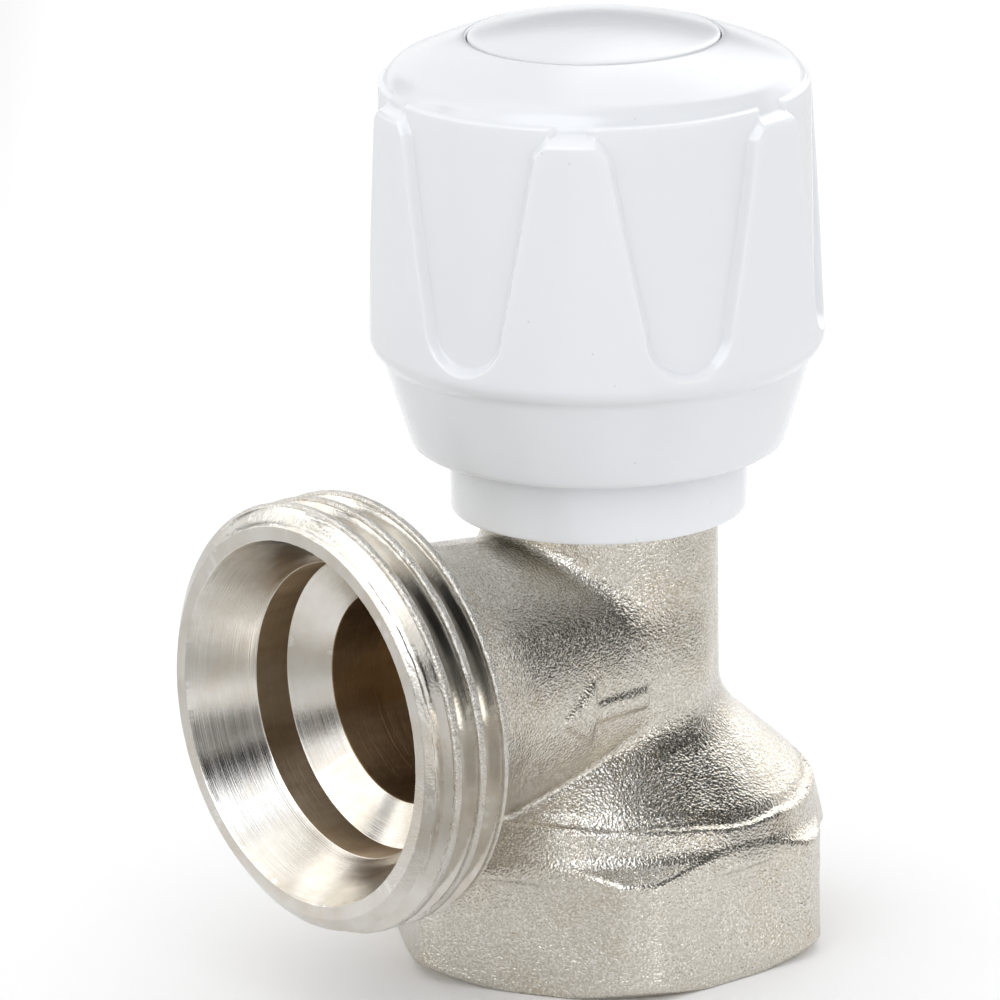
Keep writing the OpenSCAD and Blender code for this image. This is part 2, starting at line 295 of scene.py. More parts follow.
def white_plastic(name, tint, rough_mid, ripple=0.005):
    """Moulded white plastic: soft gloss, faint flow marks, a few scuffs and dust specks.

    The crown is painted a shade darker than the walls: painted shade on its top-lit crown.
    """
    g = Graph(name)
    flow = g.noise(9.0, 2.0, 0.5, stretch=(1, 1, 0.4))
    skin = g.noise(0.6, 3.0, 0.6, shift=4.0)
    scuff = g.remap(g.noise(1.4, 4.0, 0.7, stretch=(1, 1, 3.5), shift=9.0), 0.62, 0.74)
    dust = g.remap(g.cells(2.6), 0.045, 0.01)
    z = g.xyz()[2]
    # painted shade: the crown's colour darkens between these heights, where the light from above
    # falls most
    crown_painted_shade = g.remap(z, CROWN_SHADE_LOW_Z, CROWN_SHADE_HIGH_Z, smooth=True)
    color = g.mix(g.remap(flow, 0.3, 0.7), tint, tuple(0.985 * v for v in tint))
    color = g.mix(crown_painted_shade, color, tuple(0.90 * v for v in tint))
    color = g.mix(g.mul(scuff, 0.25), color, tuple(0.96 * v for v in tint))
    color = g.mix(g.mul(dust, 0.45), color, (0.42, 0.40, 0.37))
    rough = g.add(g.remap(skin, 0.3, 0.7, rough_mid - 0.03, rough_mid + 0.03), g.mul(scuff, 0.03))
    normal = g.bump(flow, ripple * 4)
    normal = g.bump(skin, ripple, normal)
    return g.finish(color, rough, normal, **{
        "IOR": 1.50, "Coat Weight": 0.15, "Coat Roughness": 0.1,
        "Subsurface Weight": 0.4, "Subsurface Radius": (1.0, 1.0, 1.0), "Subsurface Scale": 0.0012,
    })


def turned_brass(name="turned_brass"):
    """Bare machined brass of the inner pieces."""
    g = Graph(name)
    x, y, z = g.xyz()
    fine = g.lines(g.add(z, g.radius(x, y)), 0.1)
    smear = g.noise(2.0, 3.0, 0.6)
    wear = g.edges()
    color = g.mix(g.remap(smear, 0.3, 0.7), (0.72, 0.53, 0.24), (0.80, 0.62, 0.31))
    color = g.mix(g.mul(wear, 0.5), color, (0.90, 0.76, 0.46))
    rough = g.remap(fine, 0.3, 0.7, 0.18, 0.34)
    normal = g.bump(fine, 0.006)
    normal = g.bump(g.noise(0.4, 2.0), 0.004, normal)
    return g.finish(color, rough, normal, metal=1.0)


def seal_rubber():
    """Black rubber with a faint bloom."""
    g = Graph("seal_rubber")
    skin = g.noise(0.25, 3.0, 0.6)
    bloom = g.remap(g.noise(1.8, 3.0, 0.6, shift=6.0), 0.45, 0.7)
    color = g.mix(bloom, (0.022, 0.022, 0.025), (0.045, 0.044, 0.046))
    rough = g.remap(skin, 0.3, 0.7, 0.48, 0.66)
    return g.finish(color, rough, g.bump(skin, 0.008), IOR=1.5)


def seal_plastic():
    """Off-white PTFE of the washers and packing."""
    g = Graph("seal_plastic")
    skin = g.noise(0.3, 3.0, 0.6)
    tone = g.noise(2.5, 2.0, 0.5, shift=5.0)
    color = g.mix(tone, (0.83, 0.83, 0.79), (0.77, 0.77, 0.72))
    rough = g.remap(skin, 0.3, 0.7, 0.38, 0.52)
    return g.finish(color, rough, g.bump(skin, 0.005), IOR=1.38)


def plated_steel():
    """Zinc-plated steel of the screws."""
    g = Graph("plated_steel")
    x, y, z = g.xyz()
    fine = g.lines(g.add(z, g.radius(x, y)), 0.13)
    cloud = g.noise(1.6, 3.0, 0.6)
    color = g.mix(g.remap(cloud, 0.3, 0.7), (0.62, 0.63, 0.65), (0.70, 0.70, 0.70))
    color = g.mix(g.mul(g.edges(), 0.5), color, (0.80, 0.80, 0.80))
    rough = g.remap(cloud, 0.3, 0.7, 0.26, 0.42)
    return g.finish(color, rough, g.bump(fine, 0.004), metal=1.0)


NICKEL = frosted_nickel()
# painted shade: the bores' brass is coloured far darker than the inner pieces' turned brass
BORE_PAINTED_SHADE = bore_brass_painted_shade("bore_brass_painted_shade", (0.27, 0.17, 0.085), (0.46, 0.34, 0.21))
# painted shade: the outlet's inner band is coloured dark for the shade in the outlet's mouth
BAND_PAINTED_SHADE = bore_brass_painted_shade("band_brass_painted_shade", (0.34, 0.25, 0.155), (0.52, 0.42, 0.30))
BRIGHT = machined_nickel("bright_nickel", rough_low=0.14, rough_high=0.24, worn=0.9)
CONE = machined_nickel("cone_nickel", rough_low=0.13, rough_high=0.22)
THREAD = machined_nickel(
    "thread_nickel", rough_low=0.07, rough_high=0.15, worn=0.15, crest=CREST_R,
)
SOCKET = machined_nickel("socket_nickel", axis="Z", rough_low=0.16, rough_high=0.26)
CAP_WHITE = white_plastic("cap_white", (0.825, 0.845, 0.87), 0.16)
DISC_WHITE = white_plastic("disc_white", (0.81, 0.83, 0.85), 0.20, ripple=0.008)
COLLAR_WHITE = white_plastic("collar_white", (0.87, 0.89, 0.92), 0.19)
BRASS = turned_brass()
RUBBER = seal_rubber()
PTFE = seal_plastic()
STEEL = plated_steel()


# ------------------------------------------------------------------- meshes

def mesh_piece(name, points, faces, materials, body, nodes, pick=None):
    """A piece from points in millimetres; pick gives each face its material's number."""
    mesh = bpy.data.meshes.new(name)
    points = np.asarray(points, float) * MM
    faces = np.asarray(faces)
    mesh.vertices.add(len(points))
    mesh.vertices.foreach_set("co", points.ravel())
    side = faces.shape[1]
    mesh.loops.add(faces.size)
    mesh.loops.foreach_set("vertex_index", faces.ravel().astype(np.int32))
    mesh.polygons.add(len(faces))
    mesh.polygons.foreach_set("loop_start", np.arange(0, faces.size, side, dtype=np.int32))
    mesh.polygons.foreach_set("loop_total", np.full(len(faces), side, dtype=np.int32))
    for material in materials:
        mesh.materials.append(material)
    if pick is not None:
        mesh.polygons.foreach_set("material_index", np.asarray(pick, dtype=np.int32))
    mesh.update(calc_edges=True)
    mesh.validate()
    mesh.shade_smooth()
    piece = bpy.data.objects.new(name, mesh)
    bpy.context.scene.collection.objects.link(piece)
    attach(piece, body)
    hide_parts(*nodes)
    return piece


def sharpen(piece, degrees):
    """Keeps edges steeper than this crisp in the smooth shading."""
    piece.data.set_sharp_from_angle(angle=math.radians(degrees))


def ring_faces(columns, rows):
    """Quads of a grid of points closed in both directions, point number column * rows + row."""
    c = np.arange(columns)[:, None]
    r = np.arange(rows)[None, :]
    c2 = (c + 1) % columns
    r2 = (r + 1) % rows
    quads = np.stack([c * rows + r, c2 * rows + r, c2 * rows + r2, c * rows + r2], -1)
    return quads.reshape(-1, 4)


def round_path(path, steps):
    """Path of (a, b, corner radius) as points, with each corner rounded."""
    out = []
    count = len(path)
    for i, (a, b, r) in enumerate(path):
        here = np.array([a, b], float)
        if r <= 0:
            out.append(here)
            continue
        before = np.array(path[i - 1][:2], float)
        after = np.array(path[(i + 1) % count][:2], float)
        u = before - here
        v = after - here
        lu = np.linalg.norm(u)
        lv = np.linalg.norm(v)
        u /= lu
        v /= lv
        half = math.acos(max(-1, min(1, float(u @ v)))) / 2
        cut = min(r / math.tan(half), 0.48 * lu, 0.48 * lv)
        for k in range(steps + 1):
            t = k / steps
            p = here + u * cut
            q = here + v * cut
            out.append((1 - t) ** 2 * p + 2 * t * (1 - t) * here + t * t * q)
    return np.array(out)


def dense(path, longest):
    """Adds points so that no step is longer than longest."""
    out = []
    for p, q in zip(path, np.roll(path, -1, axis=0)):
        n = max(1, int(math.ceil(np.linalg.norm(q - p) / longest)))
        for k in range(n):
            out.append(p + (q - p) * k / n)
    return np.array(out)


def turned_z(path, columns):
    """Points of a path of (r, z) turned about Z, and their faces."""
    a = np.arange(columns) * 2 * math.pi / columns
    r = path[:, 0][None, :]
    z = np.broadcast_to(path[:, 1][None, :], (columns, len(path)))
    points = np.stack([r * np.cos(a)[:, None], r * np.sin(a)[:, None], z], -1)
    return points.reshape(-1, 3), ring_faces(columns, len(path))


def wobble(p, size, seed):
    """Smooth noise of about -1 to 1, a sum of seeded waves about size millimetres long."""
    rng = np.random.RandomState(seed)
    total = 0
    for _ in range(7):
        direction = rng.normal(size=3)
        direction *= 2 * math.pi / (size * rng.uniform(0.7, 1.6)) / np.linalg.norm(direction)
        total = total + np.sin(p @ direction + rng.uniform(0, 6.28))
    return total / 3.2


# ------------------------------------------------------------------ forging

# Sizes, with radii from the neck's axis save for BORE_R and the boss's
BASE_AF = 31.5
CORNER_R = 17.45
CHAMBER_R = 7.1
CHAMBER_FLOOR = 15.0
SEAT_BORE_R = 5.2
SEAT_LIP_R = 6.0
SEAT_LIP_TOP = 16.0
NECK_BORE_R = 7.5
NECK_RECESS_R = 8.5
SOCKET_R = 13.7
SOCKET_TOP = 10.6
INLET_BORE_R = 12.06
INLET_BORE_TOP = 12.5
FORGING_END_X = 22.6
BOSS_R = 9.35
BOSS_BACK_R = 9.43
BOSS_BACK_X = -6.6
BOSS_TAPER = 0.085
BOSS_FLARE_X = 13.2
BOSS_FLARE_LENGTH = 9.1
BOSS_FLARE_RISE = 2.2
SKIRT_FOOT = 9.2
ARROW_X = 8.2
ARROW_DROP = 1.2
ARROW_HEIGHT = 0.30
# Straight outlines, each as r and z of two points
FOOT_BEVEL = (BASE_AF / 2, 0.0, CORNER_R, 0.94)
HEAD_BEVEL = (CORNER_R, 9.5, BASE_AF / 2, 10.45)
FLARE_LINE = (14.62, 13.95, NECK_R, 19.2)
SKIRT_LINE = (16.25, 9.8, 15.55, 12.9)
INLET_CONE = (INLET_BORE_R, 11.0, 8.0, INLET_BORE_TOP)
# ... and as outlet radius and x
OUTLET_CONE = (8.6, 18.9, 12.0, 22.0)


def smin(a, b, k):
    """Smaller of two distances, blended over k."""
    h = np.clip(0.5 + 0.5 * (b - a) / k, 0, 1)
    return b + (a - b) * h - k * h * (1 - h)


def smax(a, b, k):
    """Larger of two distances, blended over k."""
    return -smin(-a, -b, k)


def plane(r, z, r0, z0, r1, z1):
    """Signed distance from the line through two points of the outline, outside to its right."""
    n = math.hypot(r1 - r0, z1 - z0)
    return ((r - r0) * (z1 - z0) - (z - z0) * (r1 - r0)) / n


def arrow(u, v):
    """Distance from a flow arrow's outline in the plane, pointing along +u."""
    shaft = np.maximum(np.abs(u + 1.6) - 3.2, np.abs(v) - 0.75)
    head = np.maximum(-(u - 0.9), np.abs(v) * 0.80 + (u - 4.3) * 0.60)
    return np.minimum(shaft, head)


def forging(p):
    """Signed distance, roughly, from the forged and bored valve body."""
    x, y, z = p[:, 0], p[:, 1], p[:, 2]
    r = np.hypot(x, y) + 1e-9
    angle = np.arctan2(y, x)
    # hexagon with turned corners
    flats = -1e9
    for degrees in (30, 90, 150):
        c = math.cos(math.radians(degrees))
        s = math.sin(math.radians(degrees))
        flats = smax(flats, np.abs(x * c + y * s) - BASE_AF / 2, 0.5)
    hexagon = smax(flats, r - CORNER_R, 0.3)
    hexagon = smax(hexagon, plane(r, z, *FOOT_BEVEL), 0.12)
    hexagon = smax(hexagon, plane(r, z, *HEAD_BEVEL), 0.15)
    # skirt and flare above it, not quite round, with the parting groove between the two
    wide = 0.985 + 0.040 * np.cos(2 * angle) - 0.012 * np.sin(2 * angle)
    lean = 1 + 0.020 * np.cos(2 * angle) - 0.036 * np.sin(2 * angle)
    cone = plane(r / wide, z, *FLARE_LINE)
    skirt = plane(r / lean, z, *SKIRT_LINE)
    band = np.maximum(smax(cone, skirt, 0.18), SKIRT_FOOT - z)
    band = smax(band, 0.25 - np.hypot(cone, skirt + 0.42), 0.12)
    base = smin(hexagon, band, 0.6)
    # neck and outlet boss, which widens towards the thread and is rounded off at the back
    neck = r - NECK_R
    rc = np.hypot(y, z - OUT_Z)
    boss_r = BOSS_R + BOSS_TAPER * (x + 2)
    widening = np.clip((x - BOSS_FLARE_X) / BOSS_FLARE_LENGTH, 0, 1.1)
    boss_r = boss_r + BOSS_FLARE_RISE * widening ** 2
    back = np.clip(-1.0 - x, 0, 5.8) * 1.6
    boss_r = np.where(x < -1, np.sqrt(np.maximum(BOSS_BACK_R ** 2 - back ** 2, 0.01)), boss_r)
    boss = np.where(x < BOSS_BACK_X, np.hypot(rc, x - BOSS_BACK_X), rc - boss_r)
    seam = np.exp(-(y / 0.55) ** 2)
    boss = boss - 0.10 * seam * np.clip((x - 2) / 3, 0, 1)
    shaft = smin(neck, boss, 1.1)
    near_boss = np.clip((neck - boss) / 1.5, 0, 1)
    solid = smin(shaft, base, 1.7 - 0.9 * near_boss)
    # raised arrow on the cheek, and the unevenness of a forging
    mark = arrow(x - ARROW_X, z - OUT_Z + ARROW_DROP)
    side = np.clip(y / 4, 0, 1)
    solid = solid - ARROW_HEIGHT * side * np.clip(0.5 - mark / 0.36, 0, 1)
    away = np.clip((z - 0.4) / 1.2, 0, 1) * np.clip((20.8 - x) / 1.5, 0, 1)
    solid = solid + away * (0.050 * wobble(p, 5.5, 3) + 0.012 * wobble(p, 1.9, 5))
    solid = np.maximum(solid, -z)
    solid = np.maximum(solid, z - NECK_TOP - np.clip(x - 12.0, 0, 3))
    solid = np.maximum(solid, x - FORGING_END_X)
    # bores, the seat's lip standing up inside the chamber
    bore_r = np.where(x > 12.5, BORE_R + 0.35, BORE_R)
    bore = np.maximum(rc - bore_r, 2.5 + (rc / BORE_R) * 1.5 - x)
    bore = np.minimum(bore, plane(rc, x, *OUTLET_CONE))
    chamber = np.maximum(r - CHAMBER_R, CHAMBER_FLOOR - z)
    neck_bore = np.maximum(r - NECK_BORE_R, NECK_TOP - 7 - z)
    recess = np.maximum(r - NECK_RECESS_R, NECK_TOP - 1.3 - z)
    seat = np.maximum(r - SEAT_BORE_R, 11.0 - z)
    socket = np.maximum(r - SOCKET_R, z - SOCKET_TOP)
    hollow = np.maximum(plane(r, z, *INLET_CONE), z - INLET_BORE_TOP)
    hollow = np.maximum(hollow, r - INLET_BORE_R)
    hollow = np.maximum(hollow, 10.0 - z)
    for hole in (bore, chamber, neck_bore, recess, seat, socket, hollow):
        solid = smax(solid, -hole, 0.08)
    ring = np.maximum(r - SEAT_LIP_R, SEAT_BORE_R - r)
    lip = np.maximum(ring, np.maximum(z - SEAT_LIP_TOP, CHAMBER_FLOOR - 0.2 - z))
    return np.minimum(solid, lip)


def shell(field, low, high, step):
    """Closed quad mesh of a distance field, with the points drawn onto its surface."""
    axes = [np.arange(a, b + step, step) for a, b in zip(low, high)]
    nx, ny, nz = [len(a) for a in axes]
    grid = np.empty((nx, ny, nz))
    yy, zz = np.meshgrid(axes[1], axes[2], indexing="ij")
    for first in range(0, nx, 16):
        xs = axes[0][first:first + 16]
        block = np.empty((len(xs), ny, nz, 3))
        block[..., 0] = xs[:, None, None]
        block[..., 1] = yy
        block[..., 2] = zz
        grid[first:first + 16] = field(block.reshape(-1, 3)).reshape(len(xs), ny, nz)
    inside = grid < 0
    total = np.zeros((nx - 1, ny - 1, nz - 1, 3))
    count = np.zeros((nx - 1, ny - 1, nz - 1))

    def cut(corner):
        return tuple(slice(k, n - 1 + k) for k, n in zip(corner, (nx, ny, nz)))

    corners = [(i, j, k) for i in (0, 1) for j in (0, 1) for k in (0, 1)]
    for a in corners:
        for axis in range(3):
            if a[axis]:
                continue
            b = tuple(1 if n == axis else v for n, v in enumerate(a))
            fa, fb = grid[cut(a)], grid[cut(b)]
            crossed = inside[cut(a)] != inside[cut(b)]
            t = np.where(crossed, fa / np.where(crossed, fa - fb, 1), 0)
            for n in range(3):
                total[..., n] += np.where(crossed, a[n] + (t if n == axis else 0), 0)
            count += crossed
    active = count > 0
    number = np.full(active.shape, -1)
    number[active] = np.arange(active.sum())
    cell = np.argwhere(active)
    points = cell + total[active] / count[active][:, None]
    points = np.array(low)[None, :] + points * step
    quads = []
    for axis in range(3):
        u, v = (axis + 1) % 3, (axis + 2) % 3
        first = [slice(1, -1)] * 3
        first[axis] = slice(0, -1)
        second = list(first)
        second[axis] = slice(1, None)
        a, b = inside[tuple(first)], inside[tuple(second)]
        for flip, where in ((False, a & ~b), (True, ~a & b)):
            at = np.argwhere(where)
            at[:, u] += 1
            at[:, v] += 1
            step_u = np.eye(3, dtype=int)[u]
            step_v = np.eye(3, dtype=int)[v]
            ring = [at - step_u - step_v, at - step_v, at, at - step_u]
            if flip:
                ring = ring[::-1]
            quads.append(np.stack([number[tuple(c.T)] for c in ring], -1))
    quads = np.concatenate(quads)
    quads = quads[(quads >= 0).all(1)]
    edge = np.concatenate([quads[:, [i, (i + 1) % 4]] for i in range(4)])

    def settle(p):
        """Moves each point half way to the middle of its neighbours."""
        gathered = np.zeros_like(p)
        number_of = np.bincount(edge[:, 0], minlength=len(p))
        for n in range(3):
            gathered[:, n] = np.bincount(edge[:, 0], weights=p[edge[:, 1], n], minlength=len(p))
        return p + 0.5 * (gathered / number_of[:, None] - p)

    def draw_on(p):
        """Moves each point along the slope onto the surface, half a step at most."""
        e = 0.02
        f = field(p)
        slope = np.stack([field(p + e * np.eye(3)[n]) - f for n in range(3)], -1) / e
        size = np.maximum((slope ** 2).sum(1), 0.25)
        move = -(f / size)[:, None] * slope
        length = np.linalg.norm(move, axis=1)[:, None]
        return p + move * np.minimum(1, 0.5 * step / np.maximum(length, 1e-9))

    points = draw_on(points)
    for _ in range(3):
        points = settle(points)
        points = draw_on(points)
    points = draw_on(points)
    return points, quads


def make_forging():
    """The forging's skin: nickel outside, brass in the bores, turned nickel in the socket."""
    step = 0.31
    points, faces = shell(forging, (-18.2, -18.2, -0.6), (23.3, 18.2, 38.2), step)
    x, y, z = points[faces].mean(1).T
    r = np.hypot(x, y)
    rc = np.hypot(y, z - OUT_Z)
    in_bore = (rc < BORE_R + 0.5) & (x > 2.0)
    in_neck = (r < NECK_RECESS_R + 0.1) & (z > 14.0)
    in_socket = (r < SOCKET_R + 0.1) & (z < 14.0) & (z > 0.05)
    kinds = np.select([in_bore, in_neck, in_socket], [1, 1, 2], 0)
    mesh_piece(
        "valve_forging", points, faces, [NICKEL, BORE_PAINTED_SHADE, SOCKET], "valve", ["valve_body"],
        pick=kinds,
    )


make_forging()


# ------------------------------------------------- outlet end, inlet thread

END_BACK_X = 22.25
RIM_R = 14.02
SEAT_MOUTH_X = 24.65
BAND_R = 11.35
BAND_BACK_X = 21.7
CONE_BACK_X = 19.75


def whitworth(distance, pitch, depth):
    """Height above the root at a distance from the groove's middle, crest and root rounded."""
    d = np.abs(((distance + pitch / 2) % pitch) - pitch / 2)
    flank = d / math.tan(math.radians(27.5)) - 0.24
    return smin(smax(flank, 0.0, 0.50), depth, 0.16)


def end_path():
    """Outline of the outlet end as (x, r) points, closest together on the thread."""
    outline = [
        (END_BACK_X, 12.6, 0), (END_BACK_X, 15.3, 0.35), (END_BACK_X + 0.4, CREST_R, 0.3),
        (OUT_X - 1.3, CREST_R, 0.4), (OUT_X - 0.03, 15.08, 0.20), (OUT_X, RIM_R, 0.12),
        (SEAT_MOUTH_X, BAND_R + 0.07, 0.05), (SEAT_MOUTH_X, BAND_R + 0.01, 0),
        (BAND_BACK_X, BAND_R, 0.05), (CONE_BACK_X, BORE_R, 0.12), (12.0, BORE_R - 0.03, 0),
        (12.0, 9.0, 0), (19.4, 10.0, 0),
    ]
    path = round_path(outline, steps=4)
    parts = []
    for p, q in zip(path, np.roll(path, -1, axis=0)):
        outside = p[1] > CREST_R - 2.2 and q[1] > CREST_R - 2.2 and p[0] < q[0] + 0.01
        cone = p[0] > 19.5 and q[0] > 19.5 and not outside
        longest = 0.085 if outside else 0.30 if cone else 1.0
        n = max(1, int(math.ceil(np.linalg.norm(q - p) / longest)))
        parts += [p + (q - p) * k / n for k in range(n)]
    return np.array(parts)


def outlet_end():
    """Threaded end of the outlet with its rim, seat cones and the start of the bore."""
    path = end_path()
    columns = 480
    a = (np.arange(columns) + 0.5) * 2 * math.pi / columns
    x = np.broadcast_to(path[:, 0][None, :], (columns, len(path))).copy()
    r = np.broadcast_to(path[:, 1][None, :], (columns, len(path))).copy()
    turn = (a - math.radians(22)) / (2 * math.pi)
    turn = (turn + 0.5) % 1.0 - 0.5
    groove = 26.35 + PITCH * turn[:, None]
    tooth = CREST_R - ROOT_R
    height = whitworth(x - groove, PITCH, tooth)
    at = np.stack([x, r * np.cos(a)[:, None], r * np.sin(a)[:, None]], -1)
    fine = wobble(at.reshape(-1, 3), 0.55, 21).reshape(x.shape)
    dents = wobble(at.reshape(-1, 3), 0.9, 23).reshape(x.shape)
    nick = np.clip(dents - 0.6, 0, 1) * 0.07
    fade = np.clip((x - END_BACK_X + 0.05) / 0.5, 0, 1)
    depth = (tooth - height) * fade
    threaded = CREST_R - depth
    crest_share = np.clip(height / tooth * 3 - 2, 0, 1)
    threaded = threaded - crest_share * (0.012 * (fine + 1) + nick)
    outside = (r > CREST_R - 1.7) & (x > END_BACK_X + 0.01)
    r = np.where(outside, np.minimum(r, threaded), r)
    rim = (r > RIM_R - 0.12) & (x > OUT_X - 1.1)
    r = r + np.where(rim, 0.014 * fine, 0)
    y = r * np.cos(a)[:, None]
    z = OUT_Z + r * np.sin(a)[:, None]
    points = np.stack([x, y, z], -1).reshape(-1, 3)
    faces = ring_faces(columns, len(path))
    # a finish for each face: seat cone, band, inner cone and bore lie one behind the other
    x, y, z = points[faces].mean(1).T
    rc = np.hypot(y, z - OUT_Z)
    inside = rc < BAND_R + 0.05
    band = inside & (x > BAND_BACK_X + 0.02) & (x < SEAT_MOUTH_X + 0.01)
    inner_cone = inside & (x > CONE_BACK_X - 0.05) & (x < BAND_BACK_X + 0.03) & (rc > BORE_R)
    seat_cone = ~inside & (rc < RIM_R + 0.03 - (OUT_X - x) * 0.53) & (x > SEAT_MOUTH_X - 0.15)
    bore = (rc < 8.6) & (x < CONE_BACK_X + 0.05)
    rim = (x > OUT_X - 0.9) & ~seat_cone
    kinds = np.select([bore, band, inner_cone, seat_cone, rim], [1, 2, 3, 3, 4], 0)
    piece = mesh_piece(
        "outlet_end", points, faces[:, ::-1], [THREAD, BORE_PAINTED_SHADE, BAND_PAINTED_SHADE, CONE, BRIGHT], "valve",
        ["valve_body"], pick=kinds,
    )
    sharpen(piece, 40)


outlet_end()


def inlet_thread():
    """G 3/4 female thread inside the hexagon, as a ring let into the forging."""
    pitch, crest, root = 25.4 / 14, 24.117 / 2, 26.441 / 2
    ring_r, ring_foot, ring_top = SOCKET_R + 0.2, 0.012, 10.95
    rows = int(10.8 / 0.16)
    thread = [(crest, 0.05 + 10.85 * k / rows) for k in range(rows + 1)]
    outside = [(12.3, ring_top), (ring_r, ring_top), (ring_r, 0.25), (ring_r, ring_foot)]
    path = np.array(outside + [(root + 0.35, ring_foot)] + thread)
    columns = 240
    a = np.arange(columns) * 2 * math.pi / columns
    r = np.broadcast_to(path[:, 0][None, :], (columns, len(path))).copy()
    z = np.broadcast_to(path[:, 1][None, :], (columns, len(path))).copy()
    turn = a[:, None] / (2 * math.pi)
    tooth = root - crest
    cut = tooth - whitworth(z - 2.1 - pitch * turn, pitch, tooth)
    fade = np.clip((z - 0.05) / 0.3, 0, 1) * np.clip((10.4 - z) / 1.0, 0, 1)
    mouth = np.clip(1.1 - z, 0, 1.1) * 1.35
    wall = np.maximum(crest + cut * fade, crest + mouth)
    r = np.where(path[:, 0][None, :] <= crest, np.minimum(wall, 13.75), r)
    points = np.stack([r * np.cos(a)[:, None], r * np.sin(a)[:, None], z], -1).reshape(-1, 3)
    faces = ring_faces(columns, len(path))
    piece = mesh_piece(
        "inlet_thread_ring", points, faces, [SOCKET], "valve", ["valve_body"],
    )
    sharpen(piece, 40)


inlet_thread()


# --------------------------------------------------------------- shield cap

DOME_R = 35.0
CROWN_R = 16.05
SHOULDER_R = 2.5
LOBE_R = 17.34
LOBE_DRAFT = 0.0103
FLOOR_R = 16.6
FLOOR_DRAFT = 0.0130
FLUTES = 6
FLUTE_TURN = 14.2
# the flutes end below in a half circle of radius FLUTE_END about this height
FLUTE_END = 3.72
FLUTE_END_Z = 52.4
# rise from a flute's floor to the lobe, and the radius that widths round the cap are taken at
WALL = 0.62
ROUND_R = 17.2
COLUMNS_A_FLUTE = 76
# hollow of the cap: the well under the disc, the hub round the spindle, the skirt
WELL_R = 8.4
WELL_RIM_R = 9.65
DISC_SEAT_Z = 69.4
WELL_FLOOR_Z = 60.55
SCREW_HOLE_R = 2.1
HUB_Z = 58.85
HUB_BORE_R = 4.4
HUB_R = 6.6
HUB_FOOT_Z = 53.6
SKIRT_R = 12.5


def dome_z(r):
    """Height of the crown's dome at a radius."""
    return DOME_TOP - DOME_R + np.sqrt(DOME_R * DOME_R - r * r)


def flute_half(z):
    """Half the width of a finger flute at a height, measured round the cap."""
    heights = [FLUTE_END_Z, 57.0, 62.2, 66.2, 66.9, 67.4, 67.8, 68.2, 69.0]
    widths = [FLUTE_END, 4.70, 5.72, 6.45, 7.05, 7.40, 7.70, 7.95, 8.3]
    return np.interp(z, heights, widths)


def cap_rows():
    """Outline of the cap as rows of lobe r, lobe z, flute-floor r and flute-floor z."""
    skirt = [
        (13.9, CAP_Z), (14.05, CAP_Z + 0.03), (14.22, CAP_Z + 0.16), (14.4, CAP_Z + 0.5),
        (14.66, 41.2), (15.08, 42.6), (15.5, 44.0), (15.92, 45.4), (16.3, 46.6),
        (16.40, 46.9), (16.72, 47.2), (16.95, 47.45), (17.12, 47.7), (17.24, 47.95),
        (17.31, 48.2), (17.335, 48.45),
    ]
    rows = [(r, z, r, z) for r, z in skirt]
    z_rows = np.concatenate([
        np.arange(48.60, 50.4, 0.11), np.arange(50.4, 53.0, 0.22), np.arange(53.0, 65.8, 0.62),
        np.arange(65.8, 66.75, 0.19),
    ])
    for z in z_rows:
        lobe = LOBE_R - (z - 48.3) * LOBE_DRAFT
        floor = FLOOR_R - (z - 49.0) * FLOOR_DRAFT
        rows.append((lobe, z, floor, z))
    top = LOBE_R - 18.5 * LOBE_DRAFT
    edge = [(top, 66.80), (top - 0.04, 66.95), (top - 0.13, 67.09), (top - 0.27, 67.20),
            (top - 0.43, 67.29), (top - 0.60, 67.38), (top - 0.77, 67.48), (top - 0.92, 67.59),
            (CROWN_R + 0.045, 67.69), (CROWN_R + 0.01, 67.79), (CROWN_R - 0.005, 67.88),
            (CROWN_R - 0.03, 67.96), (CROWN_R - 0.05, 68.03), (CROWN_R - 0.08, 68.10)]
    under = [(16.37, 66.88), (16.365, 67.0), (16.36, 67.14), (16.355, 67.28), (16.35, 67.42),
             (16.35, 67.56), (16.345, 67.70), (16.34, 67.84), (16.34, 67.96), (16.33, 68.08),
             (16.27, 68.15), (16.17, 68.20), (16.06, 68.24), (CROWN_R - 0.13, 68.29)]
    for (r, z), (fr, fz) in zip(edge, under):
        rows.append((r, z, fr, fz))
    mid_r = CROWN_R - SHOULDER_R
    crown_z = DOME_TOP - DOME_R + math.sqrt((DOME_R - SHOULDER_R) ** 2 - mid_r ** 2)
    last = math.acos(mid_r / (DOME_R - SHOULDER_R))
    for k in range(6, 19):
        t = last * k / 18
        r = mid_r + SHOULDER_R * math.cos(t)
        z = crown_z + SHOULDER_R * math.sin(t)
        rows.append((r, z, r, z))
    rim_r = mid_r * DOME_R / (DOME_R - SHOULDER_R)
    for r in np.linspace(rim_r - 0.4, 9.95, 11):
        rows.append((r, float(dome_z(r)), r, float(dome_z(r))))
    rim_z = float(dome_z(9.85))
    inside = [
        (9.80, rim_z - 0.005), (9.72, rim_z - 0.03), (9.66, rim_z - 0.10),
        (WELL_RIM_R, rim_z - 0.3), (WELL_RIM_R, DISC_SEAT_Z), (WELL_R, DISC_SEAT_Z),
        (WELL_R, WELL_FLOOR_Z), (SCREW_HOLE_R, WELL_FLOOR_Z), (SCREW_HOLE_R, HUB_Z),
        (HUB_BORE_R, HUB_Z), (HUB_BORE_R, HUB_FOOT_Z), (HUB_R, HUB_FOOT_Z), (HUB_R, HUB_Z),
        (9.3, HUB_Z), (10.3, 60.2), (10.3, 67.6), (13.0, 67.6), (13.95, 66.2), (14.2, 58.0),
        (14.5, 47.4), (SKIRT_R, CAP_Z + 0.6), (SKIRT_R, CAP_Z + 0.05), (SKIRT_R + 0.06, CAP_Z),
    ]
    rows += [(r, z, r, z) for r, z in inside]
    return np.array(rows)


